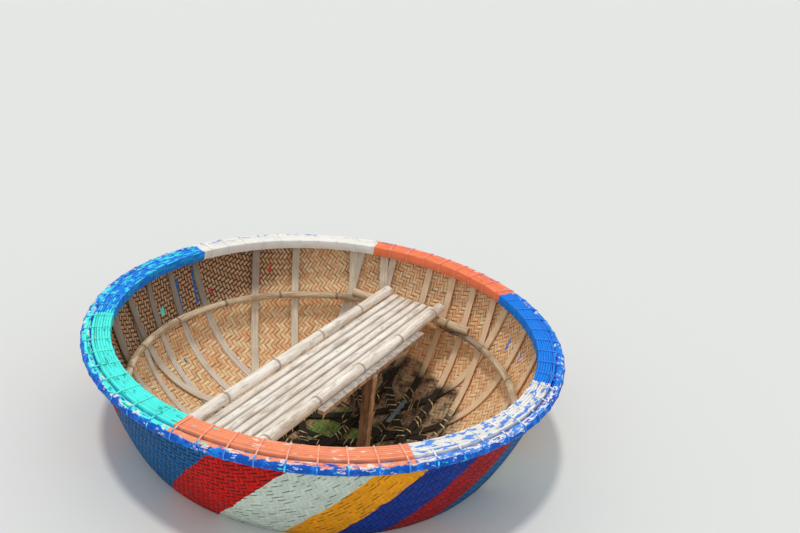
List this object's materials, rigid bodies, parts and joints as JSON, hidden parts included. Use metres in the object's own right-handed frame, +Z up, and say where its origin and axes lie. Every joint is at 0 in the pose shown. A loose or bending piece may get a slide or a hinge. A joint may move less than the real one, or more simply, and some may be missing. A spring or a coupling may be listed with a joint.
{
  "type": "coracle",
  "caption": "Round woven basket boat of split bamboo with a lashed rim, inner ribs and hoop, and a slatted seat raft on thwarts.",
  "frame": {"origin": "centre of the boat in its waterline", "axes": "+Z up out of the water, +X the boat's right and +Y its far side as seen in the picture; the hull is round about Z"},
  "size_m": [2.1018, 2.1018, 0.7713],
  "materials": {
    "woven_mat": "woven split bamboo, oiled inside, painted and tarred outside",
    "rim_bamboo": "painted split bamboo, worn",
    "lashing": "flat binding cord, weathered",
    "rib_bamboo": "weathered split bamboo",
    "pole_bamboo": "weathered bamboo pole",
    "raft_bamboo": "bleached split bamboo",
    "sawn_wood": "rough sawn timber"
  },
  "bodies": {
    "root": {"hull_mat": "woven_mat", "rim_outer_strip_1": "rim_bamboo", "rim_outer_pole": "rim_bamboo", "rim_lashings": "lashing", "thwart_far": "pole_bamboo", "thwart_near": "pole_bamboo", "raft_pole_left": "raft_bamboo", "raft_pole_right": "raft_bamboo", "raft_plank": "sawn_wood", "raft_post": "sawn_wood", "inner_hoop_left": "pole_bamboo", "inner_hoop_right": "pole_bamboo", "rim_inner_strip_1": "rim_bamboo", "rim_inner_strip_2": "rim_bamboo", "rim_inner_strip_3": "rim_bamboo", "rim_inner_strip_4": "rim_bamboo", "rim_inner_strip_5": "rim_bamboo", "raft_slat_1": "raft_bamboo", "raft_slat_2": "raft_bamboo", "raft_slat_3": "raft_bamboo", "raft_slat_4": "raft_bamboo", "raft_slat_5": "raft_bamboo", "raft_slat_6": "raft_bamboo", "rib_layer_1_1": "rib_bamboo", "rib_layer_1_2": "rib_bamboo", "rib_layer_1_3": "rib_bamboo", "rib_layer_1_4": "rib_bamboo", "rib_layer_1_5": "rib_bamboo", "rib_layer_1_6": "rib_bamboo", "rib_layer_2_1": "rib_bamboo", "rib_layer_2_2": "rib_bamboo", "rib_layer_2_3": "rib_bamboo", "rib_layer_2_4": "rib_bamboo", "rib_layer_2_5": "rib_bamboo", "rib_layer_3_1": "rib_bamboo", "rib_layer_3_2": "rib_bamboo", "rib_layer_3_3": "rib_bamboo", "rib_layer_3_4": "rib_bamboo", "rib_layer_3_5": "rib_bamboo", "rib_layer_3_6": "rib_bamboo", "rib_layer_4_1": "rib_bamboo", "rib_layer_4_2": "rib_bamboo", "rib_layer_4_3": "rib_bamboo", "rib_layer_4_4": "rib_bamboo"}
  },
  "joints": []
}
